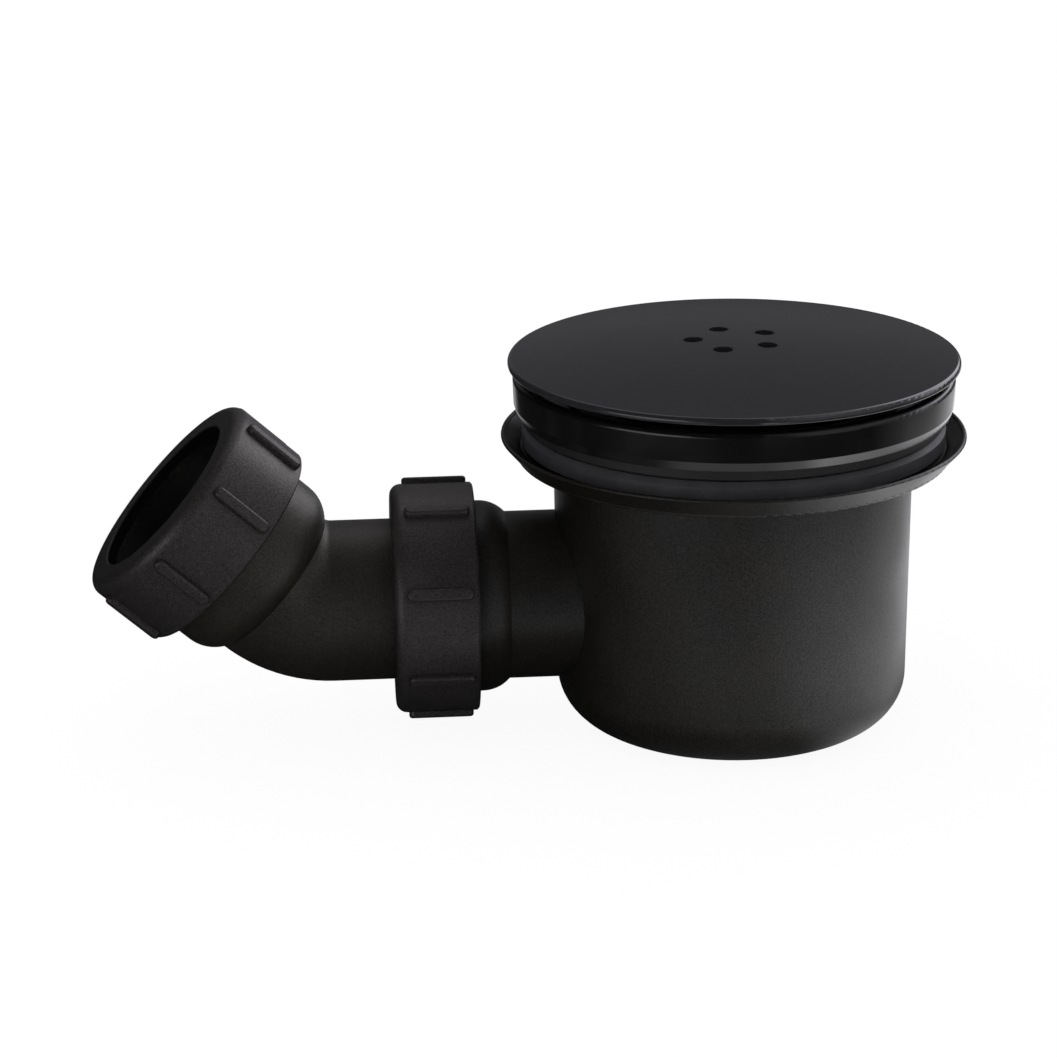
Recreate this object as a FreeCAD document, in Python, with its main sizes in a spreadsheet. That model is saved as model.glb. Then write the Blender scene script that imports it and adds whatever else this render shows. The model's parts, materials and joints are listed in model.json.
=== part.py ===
import FreeCAD, Part
import math
import os
import re

import Sketcher

# Shower waste with a water trap, in millimetres. +Z is up, the origin is the middle of the flat base
# and the outlet points to -X.

SIZES = {
    # Trap body: a drafted bucket under a dished rim
    "body_radius": 45.4,
    "body_draft": 0.5,
    "body_wall": 2.4,
    "base_thickness": 3.0,
    "base_fillet": 12.5,
    "dish_height": 73.0,
    "dish_thickness": 2.6,
    "dish_overhang": 9.5,
    "dish_edge": 0.8,
    "lip_flare": 3.75,
    "lip_height": 3.1,
    "lip_wall": 1.2,
    # Clearances
    "thread_gap": 0.5,
    "seat_gap": 0.3,
    "seal_fit": 0.1,
    # Tray clamp: gasket in the dish, washer under the flange, and the gap between them
    "gasket_thickness": 5.7,
    "gasket_margin": 1.5,
    "gasket_bevel": 1.2,
    "clamp_gap": 0.3,
    "washer_thickness": 3.0,
    "washer_inset": 2.5,
    "washer_bevel": 0.4,
    # Clamp flange: a bowl on a threaded neck
    "flange_width": 13.0,
    "flange_height": 9.5,
    "flange_taper": 0.2,
    "flange_edge": 2.2,
    "flange_chamfer": 0.7,
    "flange_floor": 2.6,
    "flange_wall": 2.4,
    "flange_rim": 1.3,
    "bowl_round": 2.0,
    "neck_length": 20.5,
    "neck_wall": 2.9,
    "neck_bevel": 0.6,
    "ledge_width": 2.4,
    "ledge_depth": 1.0,
    "lug_depth": 2.5,
    "lug_height": 5.0,
    "lug_angle": 12.0,
    "lug_count": 4,
    # Dip tube: collar, funnel, tube and a skirt that takes the cup's clips
    "collar_rim": 2.0,
    "collar_wall": 2.8,
    "collar_length": 8.1,
    "collar_gap": 0.4,
    "funnel_slope": 0.44,
    "funnel_wall": 2.4,
    "tube_radius": 19.0,
    "tube_wall": 2.0,
    "tube_gap": 6.0,
    "skirt_wall": 2.0,
    "skirt_length": 6.0,
    "window_rise": 1.3,
    "window_height": 3.0,
    "window_angle": 18.0,
    "oring_section": 1.9,
    "oring_fit": 0.05,
    "oring_drop": 4.0,
    "oring_side": 0.2,
    # Trap cup
    "cup_radius": 30.0,
    "cup_wall": 2.0,
    "cup_lift": 1.0,
    "cup_round": 5.0,
    "strap_length": 10.5,
    "strap_gap": 1.0,
    "strap_angle": 26.0,
    "barb_height": 1.6,
    "barb_land": 0.6,
    "barb_angle": 14.0,
    "clip_count": 3,
    # Cover cap
    "cover_overhang": 1.2,
    "cover_gap": 2.2,
    "cover_rim": 1.8,
    "cover_rim_wall": 2.0,
    "cover_thickness": 1.5,
    "cover_slope": 8.3,
    "cover_round": 1.1,
    "cover_bevel": 0.4,
    "hole_radius": 2.5,
    "hole_circle": 10.1,
    "hole_phase": 176.0,
    "hole_count": 5,
    "leg_wall": 2.5,
    "leg_shoulder": 2.2,
    "leg_drop": 5.5,
    "leg_angle": 14.0,
    "leg_count": 3,
    # Outlet and compression joints
    "outlet_height": 33.6,
    "outlet_reach": 79.5,
    "pipe_radius": 20.5,
    "pipe_wall": 2.3,
    "pipe_gap": 0.5,
    "spigot_step": 0.9,
    "spigot_wall": 2.6,
    "socket_gap": 0.25,
    "socket_wall": 3.65,
    "socket_depth": 18.0,
    "taper_length": 6.0,
    "taper_flare": 2.85,
    "thread_length": 14.8,
    "thread_height": 1.2,
    "thread_bevel": 0.5,
    "collar_round": 9.2,
    "seal_tip": 1.5,
    "seal_head": 3.2,
    "seal_inset": 0.2,
    "slip_thickness": 1.5,
    "slip_inset": 0.6,
    "nut_length": 21.1,
    "nut_end": 2.6,
    "nut_wall": 3.2,
    "nut_gap": 0.4,
    "nut_hole_gap": 1.0,
    "nut_round": 2.8,
    "nut_bevel": 0.5,
    "rib_height": 1.6,
    "rib_width": 3.05,
    "rib_length": 16.5,
    "rib_inset": 1.4,
    "rib_root": 1.0,
    "rib_round": 0.8,
    "rib_count": 8,
    "outlet_nut_phase": 20.8,
    "pipe_nut_phase": 36.5,
    # Bend
    "bend_corner": 111.0,
    "bend_reach": 37.45,
    "bend_radius": 22.0,
    "bend_angle": 43.1,
    "bend_swivel": 4.5,
    "bend_socket_extra": 5.9,
}

# Sizes worked out from the sheet, as formulas
BASE_RADIUS = "(body_radius - body_draft)"
BODY_BORE = "(body_radius - body_wall)"
BASE_BORE = f"({BASE_RADIUS} - body_wall)"
DISH_RADIUS = "(body_radius + dish_overhang)"
LIP_RADIUS = f"({DISH_RADIUS} + lip_flare)"
DISH_UNDERSIDE = "(dish_height - dish_thickness)"
LIP_TOP = "(dish_height + lip_height)"
GASKET_TOP = "(dish_height + gasket_thickness)"
WASHER_FOOT = f"({GASKET_TOP} + clamp_gap)"
FLANGE_FOOT = f"({WASHER_FOOT} + washer_thickness)"
NECK_RADIUS = f"({BODY_BORE} - thread_gap)"
NECK_BORE = f"({NECK_RADIUS} - neck_wall)"
NECK_FOOT = f"({FLANGE_FOOT} - neck_length)"
FLANGE_RADIUS = f"({NECK_RADIUS} + flange_width)"
FLANGE_SIDE = f"({FLANGE_RADIUS} - flange_taper)"
FLANGE_TOP = f"({FLANGE_FOOT} + flange_height)"
BOWL_FLOOR = f"({FLANGE_FOOT} + flange_floor)"
BOWL_RADIUS = f"({FLANGE_SIDE} - flange_wall)"
LEDGE_RADIUS = f"({NECK_BORE} + ledge_width)"
LEDGE = f"({BOWL_FLOOR} - ledge_depth)"
COLLAR_RADIUS = f"({NECK_BORE} - collar_gap)"
COLLAR_BORE = f"({COLLAR_RADIUS} - collar_wall)"
COLLAR_TOP = f"({LEDGE} + collar_rim)"
COLLAR_FOOT = f"({LEDGE} - collar_length)"
FUNNEL_TOP = f"({COLLAR_FOOT} + funnel_wall)"
TUBE_BORE = "(tube_radius - tube_wall)"
CUP_FOOT = "(base_thickness + cup_lift)"
CUP_BORE = "(cup_radius - cup_wall)"
TUBE_END = f"({CUP_FOOT} + cup_wall + tube_gap)"
SKIRT_BORE = "(cup_radius + seat_gap)"
SKIRT_RADIUS = f"({SKIRT_BORE} + skirt_wall)"
ORING_RADIUS = f"({NECK_BORE} - oring_fit - oring_section / 2)"
GROOVE_RADIUS = f"({NECK_BORE} - oring_section - 2 * oring_fit)"
GROOVE_TOP = f"({LEDGE} - oring_drop)"
GROOVE_FOOT = f"({GROOVE_TOP} - oring_section - 2 * oring_side)"
COVER_RADIUS = f"({FLANGE_RADIUS} + cover_overhang)"
COVER_FOOT = f"({FLANGE_TOP} + cover_gap)"
COVER_EDGE = f"({COVER_FOOT} + cover_rim)"
CROWN_EDGE = f"({COVER_RADIUS} - cover_round + cover_round * sin(cover_slope))"
CROWN_FOOT = f"({COVER_EDGE} - cover_round + cover_round * cos(cover_slope))"
CROWN_RADIUS = f"({CROWN_EDGE} / sin(cover_slope))"
CROWN_CENTRE = f"({CROWN_FOOT} - {CROWN_EDGE} / tan(cover_slope))"
SPIGOT_RADIUS = "(pipe_radius + spigot_step)"
SPIGOT_BORE = f"({SPIGOT_RADIUS} - spigot_wall)"
PIPE_BORE = "(pipe_radius - pipe_wall)"
SOCKET_BORE = "(pipe_radius + socket_gap)"
SOCKET_RADIUS = f"({SOCKET_BORE} + socket_wall)"
MOUTH_RADIUS = f"({SOCKET_BORE} + taper_flare)"
TAPER_FOOT = "(socket_depth - taper_length)"
SEAL_TOP = "(socket_depth + seat_gap + seal_head)"
SLIP_TOP = f"({SEAL_TOP} + slip_thickness)"
NUT_FACE = f"({SLIP_TOP} + nut_end)"
NUT_FOOT = f"({NUT_FACE} - nut_length)"
NUT_BORE = f"({SOCKET_RADIUS} + thread_height + nut_gap)"
NUT_RADIUS = f"({NUT_BORE} + nut_wall)"
NUT_HOLE = "(pipe_radius + nut_hole_gap)"
BEND_TANGENT = "(bend_radius * tan(bend_angle / 2))"
BEND_LEG = "(bend_reach - socket_depth)"
OUTLET_STOP = "(outlet_reach - socket_depth)"
QUARTER_TURN = "90"
SKETCH_NORMAL = FreeCAD.Vector(0, 0, 1)

doc = FreeCAD.newDocument("shower_waste")
sheet = doc.addObject("Spreadsheet::Sheet", "size")
for row, (alias, number) in enumerate(SIZES.items(), start=1):
    sheet.set(f"A{row}", alias)
    sheet.set(f"B{row}", str(number))
    sheet.setAlias(f"B{row}", alias)
doc.recompute()


def formula(text):
    """Write a formula of plain size names as an expression on the sheet."""
    return re.sub(r"[a-z_]+", lambda word: f"size.{word[0]}" if word[0] in SIZES else word[0], text)


def value(text):
    return float(sheet.evalExpression(formula(text)))


def new_body(label):
    body = doc.addObject("PartDesign::Body", label)
    body.Label = label
    return body


def origin_feature(body, role):
    return next(feature for feature in body.Origin.OriginFeatures if feature.Role == role)


def new_sketch(body, name, role):
    sketch = body.newObject("Sketcher::SketchObject", f"{body.Label}_{name}")
    sketch.AttachmentSupport = [(origin_feature(body, role), "")]
    sketch.MapMode = "FlatFace"
    return sketch


def arc_between(start, end, radius, turn):
    """The shorter arc from start to end, turning left or right on its way."""
    if turn == "right":
        start, end = end, start
    chord = end - start
    height = math.sqrt(max(radius**2 - chord.Length**2 / 4, 0.0))
    left = FreeCAD.Vector(-chord.y, chord.x, 0).normalize()
    centre = (start + end) / 2 + left * height
    first = math.atan2(start.y - centre.y, start.x - centre.x)
    last = math.atan2(end.y - centre.y, end.x - centre.x)
    circle = Part.Circle(centre, SKETCH_NORMAL, radius)
    return Part.ArcOfCircle(circle, first, last if last > first else last + 2 * math.pi)


def add_bound(sketch, constraint, text):
    """Add a dimension to a sketch and bind it to a formula."""
    index = sketch.addConstraint(constraint)
    sketch.setExpression(f"Constraints[{index}]", formula(text))


def pin_point(sketch, edge, vertex, x, y):
    """Hold one vertex of a sketch at (x, y), given as formulas."""
    for kind, text, axis in (("DistanceX", x, -2), ("DistanceY", y, -1)):
        if text == "0":
            sketch.addConstraint(Sketcher.Constraint("PointOnObject", edge, vertex, axis))
        else:
            add_bound(sketch, Sketcher.Constraint(kind, -1, 1, edge, vertex, value(text)), text)


def draw(sketch, steps, closed=True):
    """Draw an outline of bound points. A step is (x, y) for a line to that point, or
    (x, y, radius, turn) for an arc to it. The first step's own edge closes the outline."""
    points = [FreeCAD.Vector(value(step[0]), value(step[1]), 0) for step in steps]
    ends = []
    for number, step in enumerate(steps):
        if number == 0 and not closed:
            continue
        start, end = points[number - 1], points[number]
        if len(step) == 2:
            edge = sketch.addGeometry(Part.LineSegment(start, end))
            ends.append((edge, 1, 2, step))
        else:
            edge = sketch.addGeometry(arc_between(start, end, value(step[2]), step[3]))
            ends.append((edge, 1, 2, step) if step[3] == "left" else (edge, 2, 1, step))
    for number, (edge, head, tail, step) in enumerate(ends):
        if number > 0 or closed:
            before = ends[number - 1]
            sketch.addConstraint(Sketcher.Constraint("Coincident", before[0], before[2], edge, head))
        else:
            pin_point(sketch, edge, head, steps[0][0], steps[0][1])
        pin_point(sketch, edge, tail, step[0], step[1])
        if len(step) == 4:
            add_bound(sketch, Sketcher.Constraint("Radius", edge, value(step[2])), step[2])
    return sketch


def turn_about_axis(body, sketch, kind="Revolution", angle=None):
    """Revolve a sketch about its own vertical axis, or cut with it; angle is a formula for part turns."""
    feature = body.newObject(f"PartDesign::{kind}", f"{sketch.Name}_{kind.lower()}")
    feature.Profile = sketch
    feature.ReferenceAxis = (sketch, ["V_Axis"])
    feature.Angle = 360.0
    if angle:
        feature.Midplane = True
        feature.setExpression("Angle", formula(angle))
    doc.recompute()
    return feature


def turned(body, name, steps, kind="Revolution", angle=None):
    return turn_about_axis(body, draw(new_sketch(body, name, "XZ_Plane"), steps), kind, angle)


def repeat_round(body, features, count):
    """Repeat features evenly about the body's own Z axis."""
    pattern = body.newObject("PartDesign::PolarPattern", f"{features[0].Name}_pattern")
    pattern.Originals = features
    pattern.Axis = (origin_feature(body, "Z_Axis"), [""])
    pattern.Angle = 360.0
    pattern.setExpression("Occurrences", formula(count))
    body.Tip = pattern
    doc.recompute()
    return pattern


def ring(label, inner, outer, foot, top, bevel=None):
    """A flat ring, with its outer edges bevelled if a bevel is given."""
    steps = [(inner, foot), (outer, foot), (outer, top), (inner, top)]
    if bevel:
        steps[1:3] = [
            (f"{outer} - {bevel}", foot),
            (outer, f"{foot} + {bevel}"),
            (outer, f"{top} - {bevel}"),
            (f"{outer} - {bevel}", top),
        ]
    body = new_body(label)
    turned(body, "section", steps)
    return body


def socket_outside(foot, pipe, extra):
    """Outside of a compression socket, from a pipe's radius up a rounded collar to the thread's core.
    The mouth is at socket_depth; extra is how far the collar and the stop reach back below zero."""
    collar = f"(socket_depth - thread_length - {extra})"
    core_centre = f"({SOCKET_RADIUS} - collar_round)"
    rise = f"sqrt(collar_round * collar_round - ({pipe} - {core_centre}) * ({pipe} - {core_centre}))"
    return [
        ("0", foot),
        (pipe, foot),
        (pipe, f"{collar} - {rise}"),
        (SOCKET_RADIUS, collar, "collar_round", "left"),
        (SOCKET_RADIUS, "socket_depth - thread_bevel"),
        (f"{SOCKET_RADIUS} - thread_bevel", "socket_depth"),
        ("0", "socket_depth"),
    ]


def socket_inside(foot, bore, extra):
    """Bore of a compression socket: the pipe's way, the stop, the guide and the seal's taper."""
    return [
        ("0", foot),
        (bore, foot),
        (bore, f"-{extra}"),
        (SOCKET_BORE, f"-{extra}"),
        (SOCKET_BORE, TAPER_FOOT),
        (MOUTH_RADIUS, "socket_depth"),
        ("0", "socket_depth"),
    ]


def socket_sketch(body, name, x, z, turn, steps):
    """Draw a socket's section with its vertical axis along the socket, turned from upright."""
    sketch = new_sketch(body, name, "XZ_Plane")
    rotation = FreeCAD.Rotation(SKETCH_NORMAL, value(turn))
    sketch.AttachmentOffset = FreeCAD.Placement(FreeCAD.Vector(), rotation)
    sketch.setExpression("AttachmentOffset.Base.x", formula(x))
    sketch.setExpression("AttachmentOffset.Base.y", formula(z))
    sketch.setExpression("AttachmentOffset.Rotation.Angle", formula(turn))
    return draw(sketch, steps)


def make_trap_body():
    body = new_body("trap_body")
    rim = "(lip_wall / 2)"
    turned(body, "shell", [
        ("0", "0"),
        (f"{BASE_RADIUS} - base_fillet", "0"),
        (BASE_RADIUS, "base_fillet", "base_fillet", "left"),
        ("body_radius", DISH_UNDERSIDE),
        (f"{DISH_RADIUS} - dish_edge", DISH_UNDERSIDE),
        (DISH_RADIUS, f"{DISH_UNDERSIDE} + dish_edge", "dish_edge", "left"),
        (LIP_RADIUS, f"{LIP_TOP} - {rim}"),
        (f"{LIP_RADIUS} - {rim}", LIP_TOP, rim, "left"),
        (f"{LIP_RADIUS} - lip_wall", f"{LIP_TOP} - {rim}", rim, "left"),
        (f"{DISH_RADIUS} - lip_wall", "dish_height"),
        ("0", "dish_height"),
    ])
    root = f"body_radius / 2 - {OUTLET_STOP}"
    outlet, bore = [
        socket_sketch(body, name, f"-{OUTLET_STOP}", "outlet_height", QUARTER_TURN, steps)
        for name, steps in (
            ("outlet", socket_outside(root, SPIGOT_RADIUS, "0")),
            ("bore", socket_inside(root, SPIGOT_BORE, "0")),
        )
    ]
    turn_about_axis(body, outlet)
    inner_fillet = "(base_fillet - body_wall)"
    turned(body, "cavity", [
        ("0", "base_thickness"),
        (f"{BASE_BORE} - {inner_fillet}", "base_thickness"),
        (BASE_BORE, f"base_thickness + {inner_fillet}", inner_fillet, "left"),
        (BODY_BORE, "dish_height"),
        ("0", "dish_height"),
    ], "Groove")
    turn_about_axis(body, bore, "Groove")
    return body


def make_clamp_flange():
    body = new_body("clamp_flange")
    turned(body, "section", [
        (NECK_BORE, NECK_FOOT),
        (f"{NECK_RADIUS} - neck_bevel", NECK_FOOT),
        (NECK_RADIUS, f"{NECK_FOOT} + neck_bevel"),
        (NECK_RADIUS, FLANGE_FOOT),
        (f"{FLANGE_SIDE} - flange_chamfer", FLANGE_FOOT),
        (FLANGE_SIDE, f"{FLANGE_FOOT} + flange_edge"),
        (FLANGE_RADIUS, f"{FLANGE_TOP} - flange_rim"),
        (f"{FLANGE_RADIUS} - flange_rim", FLANGE_TOP, "flange_rim", "left"),
        (f"{FLANGE_RADIUS} - flange_wall", FLANGE_TOP),
        (BOWL_RADIUS, f"{BOWL_FLOOR} + bowl_round"),
        (f"{BOWL_RADIUS} - bowl_round", BOWL_FLOOR, "bowl_round", "right"),
        (LEDGE_RADIUS, BOWL_FLOOR),
        (LEDGE_RADIUS, LEDGE),
        (NECK_BORE, LEDGE),
    ])
    # Lugs inside the neck's foot take the tightening key
    lug = turned(body, "lug", [
        (f"{NECK_BORE} - lug_depth", NECK_FOOT),
        (f"{NECK_BORE} + neck_wall / 2", NECK_FOOT),
        (f"{NECK_BORE} + neck_wall / 2", f"{NECK_FOOT} + lug_height"),
        (f"{NECK_BORE} - lug_depth", f"{NECK_FOOT} + lug_height"),
    ], angle="lug_angle")
    repeat_round(body, [lug], "lug_count")
    return body


def funnel_underside(radius):
    return f"({COLLAR_FOOT} - funnel_slope * ({COLLAR_BORE} - {radius}))"


SKIRT_FOOT = f"({funnel_underside(SKIRT_BORE)} - skirt_length)"
WINDOW_FOOT = f"({SKIRT_FOOT} + window_rise)"
WINDOW_TOP = f"({WINDOW_FOOT} + window_height)"
STRAP_TOP = f"({funnel_underside('cup_radius')} - strap_gap)"
CUP_RIM = f"({STRAP_TOP} - strap_length)"


def make_dip_tube():
    body = new_body("dip_tube")
    turned(body, "section", [
        (COLLAR_BORE, COLLAR_TOP),
        (COLLAR_BORE, FUNNEL_TOP),
        (TUBE_BORE, f"{FUNNEL_TOP} - funnel_slope * ({COLLAR_BORE} - {TUBE_BORE})"),
        (TUBE_BORE, TUBE_END),
        ("tube_radius", TUBE_END),
        ("tube_radius", funnel_underside("tube_radius")),
        (SKIRT_BORE, funnel_underside(SKIRT_BORE)),
        (SKIRT_BORE, SKIRT_FOOT),
        (SKIRT_RADIUS, SKIRT_FOOT),
        (SKIRT_RADIUS, funnel_underside(SKIRT_RADIUS)),
        (COLLAR_BORE, COLLAR_FOOT),
        (COLLAR_RADIUS, COLLAR_FOOT),
        (COLLAR_RADIUS, GROOVE_FOOT),
        (GROOVE_RADIUS, GROOVE_FOOT),
        (GROOVE_RADIUS, GROOVE_TOP),
        (COLLAR_RADIUS, GROOVE_TOP),
        (COLLAR_RADIUS, LEDGE),
        (f"{LEDGE_RADIUS} - seat_gap", LEDGE),
        (f"{LEDGE_RADIUS} - seat_gap", COLLAR_TOP),
    ])
    window = turned(body, "window", [
        (f"{SKIRT_BORE} - seat_gap / 2", WINDOW_FOOT),
        (f"{SKIRT_RADIUS} + seat_gap / 2", WINDOW_FOOT),
        (f"{SKIRT_RADIUS} + seat_gap / 2", WINDOW_TOP),
        (f"{SKIRT_BORE} - seat_gap / 2", WINDOW_TOP),
    ], "Groove", "window_angle")
    repeat_round(body, [window], "clip_count")
    return body


def make_trap_cup():
    body = new_body("trap_cup")
    inner_round = "(cup_round - cup_wall)"
    turned(body, "wall", [
        ("0", CUP_FOOT),
        ("cup_radius - cup_round", CUP_FOOT),
        ("cup_radius", f"{CUP_FOOT} + cup_round", "cup_round", "left"),
        ("cup_radius", CUP_RIM),
        (CUP_BORE, CUP_RIM),
        (CUP_BORE, f"{CUP_FOOT} + cup_round"),
        ("cup_radius - cup_round", f"{CUP_FOOT} + cup_wall", inner_round, "right"),
        ("0", f"{CUP_FOOT} + cup_wall"),
    ])
    strap = turned(body, "strap", [
        (CUP_BORE, f"{CUP_RIM} - cup_wall"),
        ("cup_radius", f"{CUP_RIM} - cup_wall"),
        ("cup_radius", STRAP_TOP),
        (CUP_BORE, STRAP_TOP),
    ], angle="strap_angle")
    barb = turned(body, "barb", [
        ("cup_radius - cup_wall / 2", f"{WINDOW_FOOT} + seat_gap"),
        ("cup_radius + barb_height", f"{WINDOW_FOOT} + seat_gap"),
        ("cup_radius + barb_height", f"{WINDOW_FOOT} + seat_gap + barb_land"),
        ("cup_radius - cup_wall / 2", f"{WINDOW_TOP} - seat_gap"),
    ], angle="barb_angle")
    repeat_round(body, [strap, barb], "clip_count")
    return body


def crown_level(radius, depth):
    """Height of the cover's domed top at a radius, or of the layer at a depth below it."""
    sphere = f"({CROWN_RADIUS} - {depth})"
    return f"({CROWN_CENTRE} + sqrt({sphere} * {sphere} - {radius} * {radius}))"


def make_cover_cap():
    body = new_body("cover_cap")
    rim_bore = f"({COVER_RADIUS} - cover_rim_wall)"
    inner_crown = f"({CROWN_RADIUS} - cover_thickness)"
    turned(body, "disc", [
        ("0", crown_level("0", "cover_thickness")),
        (rim_bore, crown_level(rim_bore, "cover_thickness"), inner_crown, "right"),
        (rim_bore, COVER_FOOT),
        (f"{COVER_RADIUS} - cover_bevel", COVER_FOOT),
        (COVER_RADIUS, f"{COVER_FOOT} + cover_bevel", "cover_bevel", "left"),
        (COVER_RADIUS, f"{COVER_EDGE} - cover_round"),
        (CROWN_EDGE, CROWN_FOOT, "cover_round", "left"),
        ("0", crown_level("0", "0"), CROWN_RADIUS, "left"),
    ])
    leg_top = crown_level(COLLAR_BORE, "cover_thickness / 2")
    leg = turned(body, "leg", [
        (f"{COLLAR_BORE} - seat_gap - leg_wall", f"{COLLAR_TOP} - leg_drop"),
        (f"{COLLAR_BORE} - seat_gap", f"{COLLAR_TOP} - leg_drop"),
        (f"{COLLAR_BORE} - seat_gap", COLLAR_TOP),
        (f"{COLLAR_BORE} + leg_shoulder", COLLAR_TOP),
        (f"{COLLAR_BORE} + leg_shoulder", leg_top),
        (f"{COLLAR_BORE} - seat_gap - leg_wall", leg_top),
    ], angle="leg_angle")
    repeat_round(body, [leg], "leg_count")
    sketch = new_sketch(body, "hole", "XY_Plane")
    phase = math.radians(value("hole_phase"))
    centre = FreeCAD.Vector(math.cos(phase), math.sin(phase), 0) * value("hole_circle")
    circle = sketch.addGeometry(Part.Circle(centre, SKETCH_NORMAL, value("hole_radius")))
    add_bound(sketch, Sketcher.Constraint("Radius", circle, value("hole_radius")), "hole_radius")
    pin_point(sketch, circle, 3, "hole_circle * cos(hole_phase)", "hole_circle * sin(hole_phase)")
    hole = body.newObject("PartDesign::Pocket", "cover_cap_hole_cut")
    hole.Profile = sketch
    hole.Type = "ThroughAll"
    hole.Reversed = True
    doc.recompute()
    repeat_round(body, [hole], "hole_count")
    return body


def make_nut(label):
    """Ribbed compression nut on its own Z axis, open towards the socket."""
    body = new_body(label)
    turned(body, "section", [
        (NUT_BORE, NUT_FOOT),
        (f"{NUT_RADIUS} - nut_bevel", NUT_FOOT),
        (NUT_RADIUS, f"{NUT_FOOT} + nut_bevel"),
        (NUT_RADIUS, f"{NUT_FACE} - nut_round"),
        (f"{NUT_RADIUS} - nut_round", NUT_FACE, "nut_round", "left"),
        (f"{NUT_HOLE} + nut_bevel", NUT_FACE),
        (NUT_HOLE, f"{NUT_FACE} - nut_bevel"),
        (NUT_HOLE, SLIP_TOP),
        (NUT_BORE, SLIP_TOP),
    ])
    foot = f"({NUT_FOOT} + rib_inset + rib_width / 2)"
    top = f"({NUT_FOOT} + rib_inset + rib_length - rib_width / 2)"
    middle = "(rib_width / 2)"
    sketch = new_sketch(body, "rib", "YZ_Plane")
    sketch.setExpression("AttachmentOffset.Base.z", formula(f"{NUT_RADIUS} - rib_root"))
    draw(sketch, [
        (f"-{middle}", foot),
        ("0", f"{foot} - {middle}", middle, "left"),
        (middle, foot, middle, "left"),
        (middle, top),
        ("0", f"{top} + {middle}", middle, "left"),
        (f"-{middle}", top, middle, "left"),
    ])
    rib = body.newObject("PartDesign::Pad", f"{label}_rib_pad")
    rib.Profile = sketch
    rib.setExpression("Length", formula("rib_root + rib_height"))
    doc.recompute()
    pattern = repeat_round(body, [rib], "rib_count")
    crest = value(f"{NUT_RADIUS} + rib_height / 2")
    edges = []
    for number, edge in enumerate(pattern.Shape.Edges, start=1):
        if all(math.hypot(vertex.X, vertex.Y) > crest for vertex in edge.Vertexes):
            edges.append(f"Edge{number}")
    fillet = body.newObject("PartDesign::Fillet", f"{label}_rib_fillet")
    fillet.Base = (pattern, edges)
    fillet.setExpression("Radius", formula("rib_round"))
    body.Tip = fillet
    return body


def make_seal(label):
    """Rubber cone seal: a head under the slip washer and a cone in the socket's taper."""
    body = new_body(label)
    inner = "(pipe_radius + seal_fit)"
    slope = "(taper_flare / taper_length)"
    clear = f"(seat_gap * sqrt(1 + {slope} * {slope}))"
    turned(body, "section", [
        (inner, f"{TAPER_FOOT} + seal_tip"),
        (f"{SOCKET_BORE} + {slope} * seal_tip - {clear}", f"{TAPER_FOOT} + seal_tip"),
        (f"{MOUTH_RADIUS} - {clear}", "socket_depth"),
        (f"{MOUTH_RADIUS} - {clear}", "socket_depth + seat_gap"),
        (f"{SOCKET_RADIUS} - seal_inset", "socket_depth + seat_gap"),
        (f"{SOCKET_RADIUS} - seal_inset", SEAL_TOP),
        (inner, SEAL_TOP),
    ])
    return body


def make_slip_washer(label):
    inner = "(pipe_radius + seal_fit + seat_gap)"
    return ring(label, inner, f"({NUT_BORE} - slip_inset)", SEAL_TOP, SLIP_TOP)


def make_outlet_bend():
    """The bend in its own frame: corner at the origin, plain pipe along +X."""
    body = new_body("outlet_bend")
    pipe_end = f"(bend_corner - {OUTLET_STOP} - pipe_gap)"
    path = draw(new_sketch(body, "path", "XZ_Plane"), [
        (pipe_end, "0"),
        (BEND_TANGENT, "0"),
        (
            f"-{BEND_TANGENT} * cos(bend_angle)",
            f"{BEND_TANGENT} * sin(bend_angle)",
            "bend_radius",
            "right",
        ),
        (f"-{BEND_LEG} * cos(bend_angle)", f"{BEND_LEG} * sin(bend_angle)"),
    ], closed=False)
    pipes = []
    for name, radius in (("outside", "pipe_radius"), ("inside", PIPE_BORE)):
        sketch = new_sketch(body, name, "YZ_Plane")
        sketch.setExpression("AttachmentOffset.Base.z", formula(pipe_end))
        circle = sketch.addGeometry(Part.Circle(FreeCAD.Vector(), SKETCH_NORMAL, value(radius)))
        sketch.addConstraint(Sketcher.Constraint("Coincident", circle, 3, -1, 1))
        add_bound(sketch, Sketcher.Constraint("Radius", circle, value(radius)), radius)
        pipes.append(sketch)
    doc.recompute()
    outside = body.newObject("PartDesign::AdditivePipe", "outlet_bend_pipe")
    outside.Profile = pipes[0]
    outside.Spine = (path, ["Edge1", "Edge2", "Edge3"])
    doc.recompute()
    lean = f"{QUARTER_TURN} - bend_angle"
    socket, guide = [
        socket_sketch(
            body, name, f"-{BEND_LEG} * cos(bend_angle)", f"{BEND_LEG} * sin(bend_angle)", lean, steps
        )
        for name, steps in (
            ("socket", socket_outside(f"{BEND_TANGENT} - {BEND_LEG}", "pipe_radius", "bend_socket_extra")),
            ("guide", socket_inside("-bend_socket_extra - pipe_wall", PIPE_BORE, "bend_socket_extra")),
        )
    ]
    turn_about_axis(body, socket)
    inside = body.newObject("PartDesign::SubtractivePipe", "outlet_bend_bore")
    inside.Profile = pipes[1]
    inside.Spine = (path, ["Edge1", "Edge2", "Edge3"])
    doc.recompute()
    turn_about_axis(body, guide, "Groove")
    return body


def make_oring():
    oring = doc.addObject("Part::Torus", "dip_tube_oring")
    oring.Label = "dip_tube_oring"
    oring.setExpression("Radius1", formula(ORING_RADIUS))
    oring.setExpression("Radius2", formula("oring_section / 2"))
    oring.setExpression("Placement.Base.z", formula(f"({GROOVE_TOP} + {GROOVE_FOOT}) / 2"))
    return oring


def place(piece, text):
    piece.setExpression("Placement", formula(text))


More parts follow.
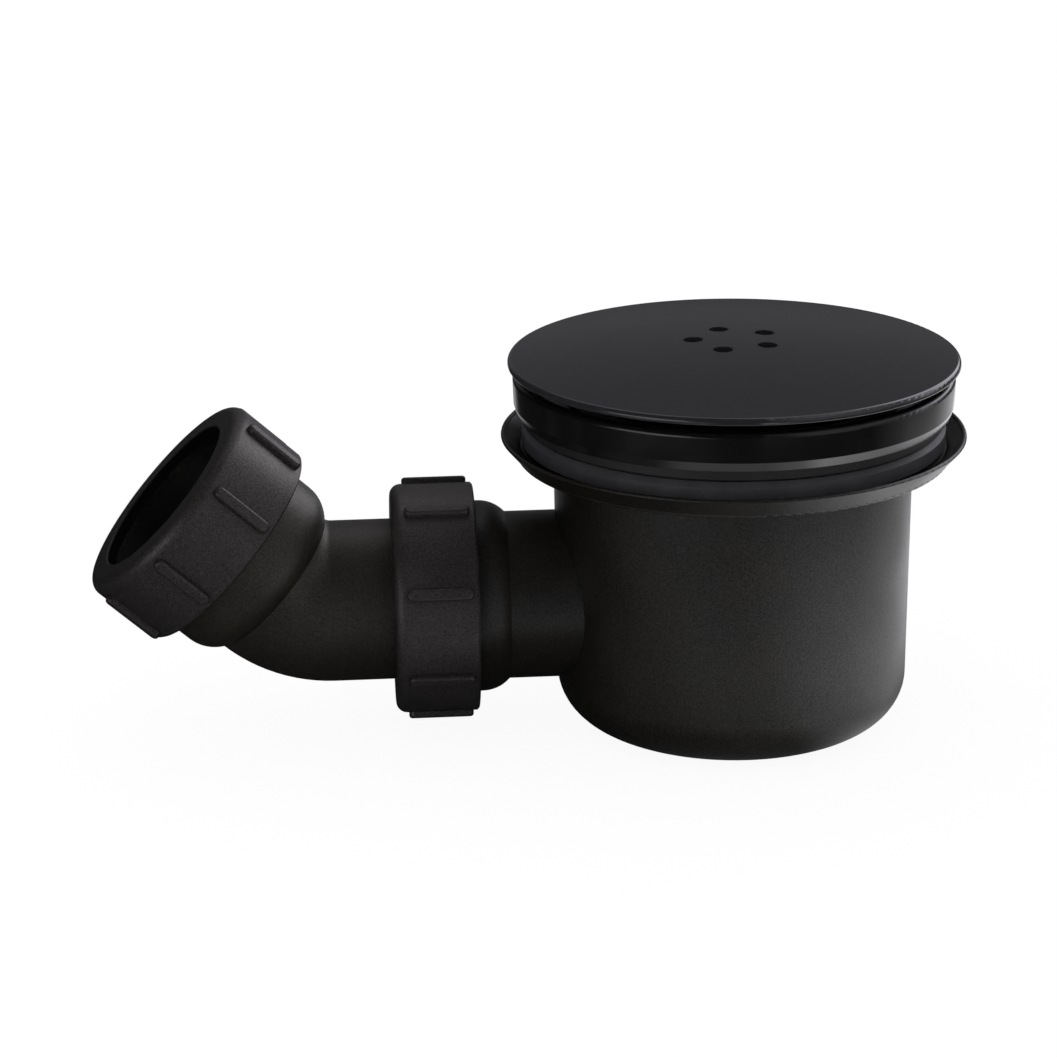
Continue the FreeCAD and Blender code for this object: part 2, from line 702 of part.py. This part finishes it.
OUTLET_PLACE = (
    f"placement(vector(-{OUTLET_STOP}; 0; outlet_height);"
    f" rotation(vector(0; 1; 0); -{QUARTER_TURN}))"
)
BEND_PLACE = "placement(vector(-bend_corner; 0; outlet_height); rotation(vector(1; 0; 0); bend_swivel))"
PIPE_PLACE = (
    f"{BEND_PLACE} * placement(vector(-{BEND_LEG} * cos(bend_angle); 0; {BEND_LEG} * sin(bend_angle));"
    f" rotation(vector(0; 1; 0); bend_angle - {QUARTER_TURN}))"
)


def turned_by(phase):
    return f" * placement(vector(0; 0; 0); rotation(vector(0; 0; 1); {phase}))"


def make_joint(name, where, phase):
    """Nut, slip washer and seal of one compression joint."""
    nut = make_nut(f"{name}_nut")
    place(nut, where + turned_by(phase))
    slip_washer = make_slip_washer(f"{name}_slip_washer")
    seal = make_seal(f"{name}_seal")
    for piece in (slip_washer, seal):
        place(piece, where)
    return [nut, slip_washer, seal]


bend = make_outlet_bend()
place(bend, BEND_PLACE)
pieces = [
    make_trap_body(),
    ring(
        "lower_gasket", f"({BODY_BORE} + thread_gap)", f"({DISH_RADIUS} - gasket_margin)",
        "dish_height", GASKET_TOP, "gasket_bevel",
    ),
    ring(
        "upper_washer", f"({NECK_RADIUS} + seat_gap)", f"({FLANGE_RADIUS} - washer_inset)",
        WASHER_FOOT, FLANGE_FOOT, "washer_bevel",
    ),
    make_clamp_flange(),
    make_dip_tube(),
    make_oring(),
    make_trap_cup(),
    make_cover_cap(),
    *make_joint("outlet", OUTLET_PLACE, "outlet_nut_phase"),
    bend,
    *make_joint("pipe", PIPE_PLACE, "pipe_nut_phase"),
]
doc.recompute()

faults = [item.Name for item in doc.Objects if {"Invalid", "Error"} & set(item.State)]
faults += [piece.Label for piece in pieces if piece.Shape.isNull() or not piece.Shape.isValid()]
if faults:
    raise RuntimeError(f"failed: {faults}")

os.makedirs("parts", exist_ok=True)
for piece in pieces:
    piece.Shape.exportStep(f"parts/{piece.Label}.step")
    box = piece.Shape.BoundBox
    print(
        f"{piece.Label}: {len(piece.Shape.Solids)} solid, {piece.Shape.Volume:.0f} mm3,"
        f" {box.XLength:.1f} x {box.YLength:.1f} x {box.ZLength:.1f} mm"
    )
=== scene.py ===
import json
import math

import bmesh
import bpy
from mathutils import Matrix, Vector


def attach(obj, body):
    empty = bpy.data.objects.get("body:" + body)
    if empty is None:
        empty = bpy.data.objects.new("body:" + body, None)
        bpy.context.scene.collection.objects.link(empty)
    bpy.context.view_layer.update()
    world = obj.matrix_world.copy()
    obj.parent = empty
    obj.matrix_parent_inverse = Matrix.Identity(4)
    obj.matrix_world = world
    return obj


MM = 0.001

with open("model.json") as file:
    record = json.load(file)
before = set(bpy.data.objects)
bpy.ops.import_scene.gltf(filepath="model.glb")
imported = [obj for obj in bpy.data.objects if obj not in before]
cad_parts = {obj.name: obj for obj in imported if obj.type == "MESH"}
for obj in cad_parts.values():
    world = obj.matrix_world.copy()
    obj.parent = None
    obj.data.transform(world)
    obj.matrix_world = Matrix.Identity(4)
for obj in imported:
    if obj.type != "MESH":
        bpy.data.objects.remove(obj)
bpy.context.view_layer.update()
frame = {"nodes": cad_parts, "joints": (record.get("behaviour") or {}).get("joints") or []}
nodes = frame["nodes"]
joints = {joint["name"]: joint for joint in frame["joints"]}
scene = bpy.context.scene


# Node trees


class Nodes:
    """Short ways to add nodes to the tree of one material or world, and to join them."""

    def __init__(self, owner, empty=False):
        owner.use_nodes = True
        self.tree = owner.node_tree
        if empty:
            self.tree.nodes.clear()

    def node(self, kind, **settings):
        made = self.tree.nodes.new(kind)
        for key, setting in settings.items():
            setattr(made, key, setting)
        return made

    def put(self, term, socket):
        """Set a socket to a number, or link an output to it."""
        if isinstance(term, (int, float)):
            socket.default_value = term
        else:
            self.tree.links.new(term, socket)

    def math(self, operation, first, second=0.0):
        made = self.node("ShaderNodeMath", operation=operation)
        for socket, term in zip(made.inputs, (first, second)):
            self.put(term, socket)
        return made.outputs["Value"]

    def map_range(self, source, low, high, to_low, to_high, **settings):
        """Map low to high onto to_low to to_high, held beyond both ends."""
        made = self.node("ShaderNodeMapRange", **settings)
        ends = {"From Min": low, "From Max": high, "To Min": to_low, "To Max": to_high}
        for socket, number in ends.items():
            made.inputs[socket].default_value = number
        self.put(source, made.inputs["Value"])
        return made.outputs["Result"]

    def mix_shaders(self, share, first, second):
        made = self.node("ShaderNodeMixShader")
        self.put(share, made.inputs["Fac"])
        self.put(first.outputs[0], made.inputs[1])
        self.put(second.outputs[0], made.inputs[2])
        return made.outputs[0]


# Materials

WHITE = (1.0, 1.0, 1.0)
OLIVE = (1.15, 1.01, 0.64)
COOL = (0.97, 0.98, 1.14)
FAINTLY_COOL = (0.98, 1.0, 1.05)
RED = (1.08, 0.99, 0.95)
WARM_GLOSS_TINT = (1.0, 0.955, 0.87)
TRAP_GLOSS_TINT = (1.0, 0.985, 0.98)
NUT_GLOSS_TINT = (1.0, 0.93, 0.90)

PLASTIC_IOR = 1.5
POLISHED_IOR = 1.62
COVER_IOR = 1.55

NOISE_LOW, NOISE_HIGH = 0.3, 0.7
GRAIN = 0.42 * MM
COARSE_GRAIN = 0.9 * MM
COARSEST_GRAIN = 1.2 * MM
GRAIN_DEPTH = 0.1 * MM
GRAIN_STRENGTH = 0.6
GRAIN_SHARE = 0.7
FLOW_CLOUD = 18 * MM
POLISH_HAZE = 12 * MM
POLISH_RIPPLE = 4 * MM
POLISH_DUST = 0.6 * MM
POLISH_DEPTH = 0.02 * MM
POLISH_STRENGTH = 0.12
COVER_HAZE = 15 * MM
COVER_GRAIN = 0.5 * MM
COVER_STRENGTH = 0.1
RUBBER_BLOOM = 6 * MM
BLOOM_SHARE = 0.55
RUBBER_GRIT = 0.5 * MM
GRIT_DEPTH = 0.08 * MM
GRIT_STRENGTH = 0.3


class Shader(Nodes):
    """A node material round one Principled shader, in the part's own coordinates."""

    def __init__(self, name, roughness, ior=PLASTIC_IOR):
        self.material = bpy.data.materials.new(name)
        super().__init__(self.material)
        self.inputs = self.tree.nodes["Principled BSDF"].inputs
        self.inputs["Roughness"].default_value = roughness
        self.inputs["IOR"].default_value = ior
        self.coordinates = self.node("ShaderNodeTexCoord").outputs

    def noise(self, size, detail=2.0):
        """Noise whose features are about size metres across."""
        made = self.node("ShaderNodeTexNoise")
        made.inputs["Scale"].default_value = 1.0 / size
        made.inputs["Detail"].default_value = detail
        self.put(self.coordinates["Object"], made.inputs["Vector"])
        return made.outputs["Fac"]

    def blend(self, first, first_share, second):
        """Two noises added up, by their shares."""
        first_part = self.math("MULTIPLY", first, first_share)
        second_part = self.math("MULTIPLY", second, 1 - first_share)
        return self.math("ADD", first_part, second_part)

    def spread(self, noise, low, high):
        """Map the usual range of a noise onto low to high."""
        return self.map_range(noise, NOISE_LOW, NOISE_HIGH, low, high)

    def ramp(self, source, *stops):
        """A colour from stops, each a position and a colour."""
        made = self.node("ShaderNodeValToRGB")
        elements = made.color_ramp.elements
        while len(elements) < len(stops):
            elements.new(0.5)
        for element, (position, colour) in zip(elements, stops):
            element.position = position
            element.color = (*colour, 1.0)
        self.put(source, made.inputs["Fac"])
        return made.outputs["Color"]

    def bump(self, height, depth, strength):
        made = self.node("ShaderNodeBump")
        made.inputs["Strength"].default_value = strength
        made.inputs["Distance"].default_value = depth
        self.put(height, made.inputs["Height"])
        self.put(made.outputs["Normal"], self.inputs["Normal"])

    def distance_from(self, point, axis):
        """The distance of a place on the part from the line through point along axis."""
        reach = self.node("ShaderNodeVectorMath", operation="SUBTRACT")
        self.put(self.coordinates["Object"], reach.inputs[0])
        reach.inputs[1].default_value = point
        across = self.node("ShaderNodeVectorMath", operation="CROSS_PRODUCT")
        self.put(reach.outputs["Vector"], across.inputs[0])
        across.inputs[1].default_value = axis
        length = self.node("ShaderNodeVectorMath", operation="LENGTH")
        self.put(across.outputs["Vector"], length.inputs[0])
        return length.outputs["Value"]


def grey(level, tint=WHITE):
    return tuple(level * share for share in tint)


def moulded_grain(shader, roughness, grain, gloss_tint):
    """What all moulded plastics share: fine spark-eroded specks and soft flow clouds."""
    specks = shader.noise(grain, 3.0)
    clouds = shader.noise(FLOW_CLOUD)
    shader.inputs["Specular Tint"].default_value = (*gloss_tint, 1.0)
    shader.put(shader.spread(clouds, roughness - 0.04, roughness + 0.05), shader.inputs["Roughness"])
    shader.bump(specks, GRAIN_DEPTH, GRAIN_STRENGTH)
    return specks, clouds


def sparkle(shader, specks, gloss, speckle):
    """A gloss that varies from speck to speck by the share speckle."""
    return shader.spread(specks, gloss * (1 - speckle), gloss * (1 + speckle))


def moulded_plastic(
    name, dark, light, roughness, grain=GRAIN, tint=OLIVE, gloss_tint=WARM_GLOSS_TINT, gloss=0.5, speckle=0.25
):
    """Injection-moulded plastic, with specks of dark and light."""
    shader = Shader(name, roughness)
    specks, clouds = moulded_grain(shader, roughness, grain, gloss_tint)
    colour = shader.ramp(
        shader.blend(specks, GRAIN_SHARE, clouds),
        (0.38, grey(dark, tint)),
        (0.53, grey((dark + light) / 2, tint)),
        (0.66, grey(light, tint)),
    )
    shader.put(colour, shader.inputs["Base Color"])
    shader.put(sparkle(shader, specks, gloss, speckle), shader.inputs["Specular IOR Level"])
    return shader.material


def plastic_with_painted_bore_shade(name, point, axis, bore, dark, light, roughness, tint, gloss_tint, gloss, speckle):
    """Moulded plastic with painted shade: all but black and without gloss within the radius bore of an axis.
    """
    painted_bore_shade_dark, painted_bore_shade_light = 0.0012, 0.0020
    painted_bore_shade_edge = 0.4 * MM
    shader = Shader(name, roughness)
    specks, _clouds = moulded_grain(shader, roughness, GRAIN, gloss_tint)
    outside = shader.ramp(specks, (0.36, grey(dark, tint)), (0.66, grey(light, tint)))
    # Painted shade: the nearly black colour inside the bore stands in for the shade in the hole.
    inside = shader.ramp(specks, (0.32, grey(painted_bore_shade_dark)), (0.72, grey(painted_bore_shade_light)))
    share = shader.map_range(shader.distance_from(point, axis), bore, bore + painted_bore_shade_edge, 0.0, 1.0)
    colour = shader.node("ShaderNodeMix", data_type="RGBA")
    shader.put(share, colour.inputs["Factor"])
    shader.put(inside, colour.inputs["A"])
    shader.put(outside, colour.inputs["B"])
    shader.put(colour.outputs["Result"], shader.inputs["Base Color"])
    # Painted shade: the gloss is taken away inside the bore as well.
    level = shader.math("MULTIPLY", share, sparkle(shader, specks, gloss, speckle))
    shader.put(level, shader.inputs["Specular IOR Level"])
    return shader.material


def polished_plastic(name, dark, light, roughness):
    """Polished black plastic: faint haze and dust-fine speckle under a hard gloss."""
    shader = Shader(name, roughness, POLISHED_IOR)
    haze = shader.noise(POLISH_HAZE, 3.0)
    dust = shader.noise(POLISH_DUST)
    colour = shader.ramp(dust, (0.35, grey(dark)), (0.7, grey(light)))
    shader.put(colour, shader.inputs["Base Color"])
    shader.put(shader.spread(haze, roughness * 0.8, roughness * 1.25), shader.inputs["Roughness"])
    shader.bump(shader.noise(POLISH_RIPPLE), POLISH_DEPTH, POLISH_STRENGTH)
    return shader.material


def cover_finish(name, dark, light):
    """The cover's face is a fine satin and its rim is polished, told apart by the surface's slope."""
    rim_slope, face_slope = 0.96, 0.985
    rim_roughness, face_roughness = 0.09, 0.16
    rim_gloss, face_gloss = 0.6, 0.25
    shader = Shader(name, face_roughness, COVER_IOR)
    fine = shader.noise(COVER_GRAIN, 3.0)
    colour = shader.ramp(fine, (0.35, grey(dark, COOL)), (0.7, grey(light, COOL)))
    shader.put(colour, shader.inputs["Base Color"])
    normal = shader.node("ShaderNodeSeparateXYZ")
    shader.put(shader.coordinates["Normal"], normal.inputs["Vector"])
    slope = normal.outputs["Z"]
    roughness = shader.map_range(slope, rim_slope, face_slope, rim_roughness, face_roughness)
    gloss = shader.map_range(slope, rim_slope, face_slope, rim_gloss, face_gloss)
    haze = shader.spread(shader.noise(COVER_HAZE), 0.92, 1.08)
    shader.put(shader.math("MULTIPLY", roughness, haze), shader.inputs["Roughness"])
    shader.put(gloss, shader.inputs["Specular IOR Level"])
    shader.bump(fine, POLISH_DEPTH, COVER_STRENGTH)
    return shader.material


def rubber(name, dark, light, roughness, tint=WHITE):
    """Moulded rubber with a bloom of fine pale dust."""
    shader = Shader(name, roughness)
    bloom = shader.noise(RUBBER_BLOOM, 4.0)
    grit = shader.noise(RUBBER_GRIT)
    mixed = shader.blend(bloom, BLOOM_SHARE, grit)
    colour = shader.ramp(mixed, (0.34, grey(dark, tint)), (0.7, grey(light, tint)))
    shader.put(colour, shader.inputs["Base Color"])
    shader.put(shader.spread(bloom, roughness - 0.06, roughness + 0.06), shader.inputs["Roughness"])
    shader.bump(grit, GRIT_DEPTH, GRIT_STRENGTH)
    return shader.material


NUT_LOOK = {
    "dark": 0.0062,
    "light": 0.0140,
    "roughness": 0.43,
    "tint": RED,
    "gloss_tint": NUT_GLOSS_TINT,
    "gloss": 0.84,
    "speckle": 0.35,
}
# Radius from the pipe nut's axis within which shade is painted.
NUT_PAINTED_SHADE_RADIUS = 21.6 * MM
PIPE_NUT_TURN = joints["pipe_nut_turn"]

trap_plastic = moulded_plastic(
    "trap_plastic_look", dark=0.0035, light=0.0085, roughness=0.42, gloss_tint=TRAP_GLOSS_TINT
)
bend_plastic = moulded_plastic(
    "bend_plastic_look", dark=0.0052, light=0.0116, roughness=0.45, gloss=0.84, speckle=0.3
)
nut_plastic = moulded_plastic("nut_plastic_look", **NUT_LOOK)
# The pipe nut's plastic, with painted shade nearly black inside its bore.
pipe_nut_painted_bore_shade_plastic = plastic_with_painted_bore_shade(
    "pipe_nut_painted_bore_shade_look", PIPE_NUT_TURN["pos_m"], PIPE_NUT_TURN["axis"], NUT_PAINTED_SHADE_RADIUS, **NUT_LOOK
)
insert_plastic = moulded_plastic(
    "insert_plastic_look", dark=0.016, light=0.024, roughness=0.40, grain=COARSE_GRAIN
)
# Painted shade: the slip washers' own dark colour is made darker still, for the shade in the pipe nut's hole.
slip_washer_plastic_painted_shade = moulded_plastic(
    "slip_washer_plastic_painted_shade_look", dark=0.0012, light=0.0022, roughness=0.45, grain=COARSEST_GRAIN
)
flange_plastic = polished_plastic("flange_plastic_look", dark=0.0020, light=0.0032, roughness=0.17)
cover_plastic = cover_finish("cover_plastic_look", dark=0.0095, light=0.0135)
gasket_rubber = rubber("gasket_rubber_look", dark=0.020, light=0.029, roughness=0.5, tint=COOL)
washer_rubber = rubber("washer_rubber_look", dark=0.008, light=0.012, roughness=0.5, tint=FAINTLY_COOL)
# Painted shade: the seals' black rubber is made darker still, for the shade in the pipe nut's hole.
seal_black_rubber_painted_shade = rubber("seal_black_rubber_painted_shade_look", dark=0.0012, light=0.0022, roughness=0.55)

LOOKS = {
    "trap_body": trap_plastic,
    "lower_gasket": gasket_rubber,
    "upper_washer": washer_rubber,
    "clamp_flange": flange_plastic,
    "dip_tube": insert_plastic,
    "dip_tube_oring": seal_black_rubber_painted_shade,
    "trap_cup": insert_plastic,
    "cover_cap": cover_plastic,
    "outlet_nut": nut_plastic,
    "outlet_slip_washer": slip_washer_plastic_painted_shade,
    "outlet_seal": seal_black_rubber_painted_shade,
    "outlet_bend": bend_plastic,
    "pipe_nut": pipe_nut_painted_bore_shade_plastic,
    "pipe_slip_washer": slip_washer_plastic_painted_shade,
    "pipe_seal": seal_black_rubber_painted_shade,
}
for name, look in LOOKS.items():
    nodes[name].data.materials.clear()
    nodes[name].data.materials.append(look)


# Threads

STEPS_A_TURN = 96
RUNOUT_TURNS = 0.6
RIDGE_SINK = 0.15 * MM
RIDGE_HALF_WIDTH = 0.30  # of the pitch
# Place across, of the half width, and rise, of the height
RIDGE_PROFILE = ((-1.0, 0.0), (-0.62, 0.55), (-0.3, 0.93), (0.0, 1.0), (0.3, 0.93), (0.62, 0.55), (1.0, 0.0))

SOCKET_RIDGE = 1.2 * MM
FINE_RIDGE = 0.28 * MM
SOCKET_CORE = 24.4 * MM
SOCKET_CREST = SOCKET_CORE + SOCKET_RIDGE
NUT_BORE = 26.0 * MM
NUT_CREST = NUT_BORE - FINE_RIDGE
NUT_MIDDLE = 15.0 * MM  # from the end stop of its socket
SOCKET_THREAD_START = 4.3 * MM
NUT_THREAD_START = 6.2 * MM
JOINT_PITCH = 3.0 * MM
JOINT_THREAD = 12.4 * MM
NECK_CORE = 42.5 * MM
NECK_CREST = NECK_CORE + FINE_RIDGE
NECK_THREAD_START = Vector((0.0, 0.0, 63.0 * MM))
NECK_PITCH = 4.0 * MM
NECK_THREAD = 13.5 * MM


def ridge(start, axis, root, crest, pitch, length, first_angle=0.0):
    """The mesh of a rounded helical ridge from start along axis, from its root radius to its crest radius.
    It runs out to nothing at both ends."""
    side = axis.orthogonal().normalized()
    turned = Matrix((side, axis.cross(side), axis)).transposed()
    count = int(length / pitch * STEPS_A_TURN)
    foot = root - math.copysign(RIDGE_SINK, crest - root)
    mesh = bmesh.new()
    rows = []
    for step in range(count + 1):
        turns = step / STEPS_A_TURN
        share = min(1.0, turns / RUNOUT_TURNS, (count - step) / STEPS_A_TURN / RUNOUT_TURNS)
        eased = share * share * (3 - 2 * share)
        angle = 2 * math.pi * turns + first_angle
        row = []
        for across, rise in RIDGE_PROFILE:
            radius = foot + (crest - foot) * rise * eased
            along = (turns + across * RIDGE_HALF_WIDTH) * pitch
            point = Vector((radius * math.cos(angle), radius * math.sin(angle), along))
            row.append(mesh.verts.new(start + turned @ point))
        rows.append(row)
    for first, second in zip(rows, rows[1:]):
        for index in range(len(RIDGE_PROFILE)):
            mesh.faces.new((first[index - 1], first[index], second[index], second[index - 1]))
    for row in (rows[0], rows[-1]):
        mesh.faces.new(row)
    bmesh.ops.recalc_face_normals(mesh, faces=mesh.faces)
    return mesh


def thread(name, body, look, mesh):
    """A ridge as a piece of its own, which rides on a body."""
    data = bpy.data.meshes.new(name)
    mesh.to_mesh(data)
    mesh.free()
    for polygon in data.polygons:
        polygon.use_smooth = True
    piece = bpy.data.objects.new(name, data)
    scene.collection.objects.link(piece)
    data.materials.append(look)
    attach(piece, body)


for end, body, look, slot in (
    ("outlet", "trap", trap_plastic, "trap_plastic"),
    ("pipe", "bend", bend_plastic, "bend_plastic"),
):
    turn = joints[f"{end}_nut_turn"]
    axis = Vector(turn["axis"]).normalized()
    stop = Vector(turn["pos_m"]) - axis * NUT_MIDDLE
    socket_start = stop + axis * SOCKET_THREAD_START
    socket_ridge = ridge(socket_start, axis, SOCKET_CORE, SOCKET_CREST, JOINT_PITCH, JOINT_THREAD)
    thread(f"{end}_socket_thread", body, look, socket_ridge)
    nut_start = stop + axis * NUT_THREAD_START
    nut_ridge = ridge(nut_start, axis, NUT_BORE, NUT_CREST, JOINT_PITCH, JOINT_THREAD, math.pi)
    thread(f"{end}_nut_thread", f"{end}_nut", nut_plastic, nut_ridge)

neck_axis = Vector(joints["flange_turn"]["axis"]).normalized()
neck_ridge = ridge(NECK_THREAD_START, neck_axis, NECK_CORE, NECK_CREST, NECK_PITCH, NECK_THREAD)
thread("flange_neck_thread", "flange", flange_plastic, neck_ridge)


# Stage

FLOOR_REACH = 4.0
FLOOR_LEVEL = -0.3 * MM
FLOOR_GREY = 0.82
FLOOR_GLOW = 0.93
TABLE_LEVEL = -0.1 * MM
TABLE_TINT = (1.0, 1.0, 1.03)
TENT_RADIUS = 1.2
TENT_CENTRE = Vector((-0.03, 0.0, 0.0))
TENT_TINT = (1.0, 0.98, 1.06)
TENT_SEGMENTS = 96
TENT_RINGS = 64
ROOM_LIGHT = 1.39

# Level, then edges of heading (0 right, 90 back) and of elevation, in degrees
TENT_WINDOWS = {
    "key": (2.0, (8, 32, 58, 66), (4, 20, 46, 62)),
    "rim_left": (1.1, (-165, -150, -122, -114), (-4, 2, 16, 24)),
    "rim_right": (0.8, (-80, -74, -60, -52), (-4, 0, 8, 14)),
    "right_low": (0.5, (-72, -45, 20, 40), (-8, -2, 6, 16)),
    "right_high": (0.33, (-75, -40, 5, 28), (12, 24, 52, 72)),
    "back_high": (0.52, (55, 68, 115, 135), (38, 48, 66, 76)),
    "back_low": (0.14, (58, 66, 108, 130), (-8, 14, 38, 46)),
    "top": (0.42, (-50, -15, 60, 80), (48, 58, 74, 84)),
}

# Level, then edges along x and along y, in mm
TABLE_WINDOWS = {
    "right_near": (0.9, (48, 78, 150, 185), (-150, -110, 250, 420)),
    "right_mid": (0.62, (60, 100, 220, 320), (-60, 0, 200, 320)),
    "corner": (0.72, (12, 36, 105, 140), (-125, -95, -25, 10)),
    "front": (0.58, (-90, -55, 60, 110), (-160, -140, -90, -60)),
    "front_left": (0.08, (-260, -200, -90, -55), (-160, -140, -60, -20)),
    "rim_left": (1.8, (-600, -450, -138, -122), (-540, -490, -368, -352)),
    "rim_right": (1.6, (30, 46, 420, 600), (-540, -490, -368, -352)),
    "beside": (0.1, (-40, 0, 60, 90), (-110, -80, 250, 420)),
    "right_far": (0.15, (150, 185, 700, 1150), (-140, -60, 600, 1150)),
    "back": (0.1, (-60, 40, 220, 500), (90, 280, 1150, 1200)),
    "back_left": (0.5, (-150, -110, -20, 30), (100, 200, 1150, 1200)),
    "left_front": (0.7, (-1300, -1200, -380, -220), (-1300, -1200, -260, -160)),
    "all": (0.015, (-1400, -1300, 1300, 1400), (-1400, -1300, 1300, 1400)),
}


class Glow(Nodes):
    """A material that glows by place: soft-edged windows of light, summed."""

    def __init__(self, name, tint):
        self.material = bpy.data.materials.new(name)
        super().__init__(self.material, empty=True)
        place = self.node("ShaderNodeTexCoord").outputs["Object"]
        parts = self.node("ShaderNodeSeparateXYZ")
        self.put(place, parts.inputs["Vector"])
        self.x, self.y, self.z = parts.outputs
        self.tint = tint
        self.sum = 0.0

    def edge(self, source, outside, inside):
        """0 at outside to 1 at inside, eased."""
        low, high = sorted((outside, inside))
        at_low, at_high = (0.0, 1.0) if outside < inside else (1.0, 0.0)
        return self.map_range(source, low, high, at_low, at_high, interpolation_type="SMOOTHSTEP")

    def window(self, level, *measures):
        """Add a window of light: each measure is a source and its four edges."""
        share = level
        for source, (first, first_full, last_full, last) in measures:
            share = self.math("MULTIPLY", self.edge(source, first, first_full), share)
            share = self.math("MULTIPLY", self.edge(source, last, last_full), share)
        self.sum = self.math("ADD", self.sum, share)

    def finish(self):
        glow = self.node("ShaderNodeEmission")
        glow.inputs["Color"].default_value = (*self.tint, 1.0)
        self.put(self.sum, glow.inputs["Strength"])
        self.put(glow.outputs[0], self.node("ShaderNodeOutputMaterial").inputs["Surface"])
        return self.material


def seen_by_camera_or_gloss(build):
    """1 for the rays that show the ground, 0 for those that light the object."""
    path = build.node("ShaderNodeLightPath").outputs
    seen = build.math("MAXIMUM", path["Is Camera Ray"], path["Is Glossy Ray"])
    return build.math("MAXIMUM", seen, path["Is Transmission Ray"])


def floor_paper():
    """Paper that takes the object's shadow and is nearly white where it is seen."""
    material = bpy.data.materials.new("floor_paper")
    build = Nodes(material, empty=True)
    paper = build.node("ShaderNodeBsdfDiffuse")
    paper.inputs["Color"].default_value = (*grey(FLOOR_GREY), 1.0)
    glow = build.node("ShaderNodeEmission")
    glow.inputs["Strength"].default_value = 1.0
    share = build.math("MULTIPLY", seen_by_camera_or_gloss(build), FLOOR_GLOW)
    surface = build.mix_shaders(share, paper, glow)
    build.put(surface, build.node("ShaderNodeOutputMaterial").inputs["Surface"])
    return material


def tent_cloth():
    """The light round and above the object, as its gloss shows it."""
    glow = Glow("tent_cloth", TENT_TINT)
    heading = glow.math("ARCTAN2", glow.y, glow.x)
    elevation = glow.math("ARCSINE", glow.math("DIVIDE", glow.z, TENT_RADIUS))
    for level, headings, elevations in TENT_WINDOWS.values():
        heading_edges = [math.radians(edge) for edge in headings]
        elevation_edges = [math.radians(edge) for edge in elevations]
        glow.window(level, (heading, heading_edges), (elevation, elevation_edges))
    return glow.finish()


def table_light():
    """The light on the table round the object, as its gloss shows it."""
    glow = Glow("table_card", TABLE_TINT)
    for level, across, along in TABLE_WINDOWS.values():
        x_edges = [edge * MM for edge in across]
        y_edges = [edge * MM for edge in along]
        glow.window(level, (glow.x, x_edges), (glow.y, y_edges))
    return glow.finish()


def staged(name, data, material, place=Vector()):
    """Add a thing of the stage, which is no piece of the object."""
    data.materials.append(material)
    thing = bpy.data.objects.new(name, data)
    thing.location = place
    scene.collection.objects.link(thing)
    return thing


def square_sheet(name, reach, level, material):
    data = bpy.data.meshes.new(name)
    corners = [(x * reach, y * reach, level) for x, y in ((-1, -1), (1, -1), (1, 1), (-1, 1))]
    data.from_pydata(corners, [], [(0, 1, 2, 3)])
    return staged(name, data, material)


def half_sphere(name, radius, centre, material):
    mesh = bmesh.new()
    bmesh.ops.create_uvsphere(mesh, u_segments=TENT_SEGMENTS, v_segments=TENT_RINGS, radius=radius)
    below = [vert for vert in mesh.verts if vert.co.z < -MM]
    bmesh.ops.delete(mesh, geom=below, context="VERTS")
    data = bpy.data.meshes.new(name)
    mesh.to_mesh(data)
    mesh.free()
    return staged(name, data, material, centre)


def only_in_reflections(card):
    card.visible_camera = False
    card.visible_diffuse = False
    card.visible_shadow = False


def studio_world():
    """Even light on the object, and white where the camera or a reflection sees it."""
    world = bpy.data.worlds.new("studio")
    build = Nodes(world, empty=True)
    room = build.node("ShaderNodeBackground")
    white = build.node("ShaderNodeBackground")
    for light, strength in ((room, ROOM_LIGHT), (white, 1.0)):
        light.inputs["Color"].default_value = (*WHITE, 1.0)
        light.inputs["Strength"].default_value = strength
    surface = build.mix_shaders(seen_by_camera_or_gloss(build), room, white)
    build.put(surface, build.node("ShaderNodeOutputWorld").inputs["Surface"])
    return world


square_sheet("floor", FLOOR_REACH, FLOOR_LEVEL, floor_paper())
only_in_reflections(half_sphere("tent", TENT_RADIUS, TENT_CENTRE, tent_cloth()))
only_in_reflections(square_sheet("table_card", TENT_RADIUS, TABLE_LEVEL, table_light()))
scene.world = studio_world()


# Camera

CAMERA_PLACE = Vector((-97.05, -721.1, 297.3)) * MM
CAMERA_YAW = math.radians(-3.57)
CAMERA_PITCH = math.radians(-18.81)
CAMERA_ROLL = math.radians(0.8153)
CAMERA_LENS = 102.18
SENSOR_WIDTH = 36.0
CLIP_START = 0.05
CLIP_END = 20.0


def camera_axes():
    """The camera's right, up and forward directions."""
    forward = Vector((
        -math.sin(CAMERA_YAW) * math.cos(CAMERA_PITCH),
        math.cos(CAMERA_YAW) * math.cos(CAMERA_PITCH),
        math.sin(CAMERA_PITCH),
    ))
    level_right = forward.cross(Vector((0, 0, 1))).normalized()
    level_up = level_right.cross(forward)
    right = level_right * math.cos(CAMERA_ROLL) - level_up * math.sin(CAMERA_ROLL)
    up = level_up * math.cos(CAMERA_ROLL) + level_right * math.sin(CAMERA_ROLL)
    return right, up, forward


camera_data = bpy.data.cameras.new("camera")
camera_data.lens = CAMERA_LENS
camera_data.sensor_width = SENSOR_WIDTH
camera_data.clip_start = CLIP_START
camera_data.clip_end = CLIP_END
camera = bpy.data.objects.new("camera", camera_data)
right, up, forward = camera_axes()
camera.matrix_world = Matrix.Translation(CAMERA_PLACE) @ Matrix((right, up, -forward)).transposed().to_4x4()
scene.collection.objects.link(camera)
scene.camera = camera

scene.view_settings.view_transform = "Standard"
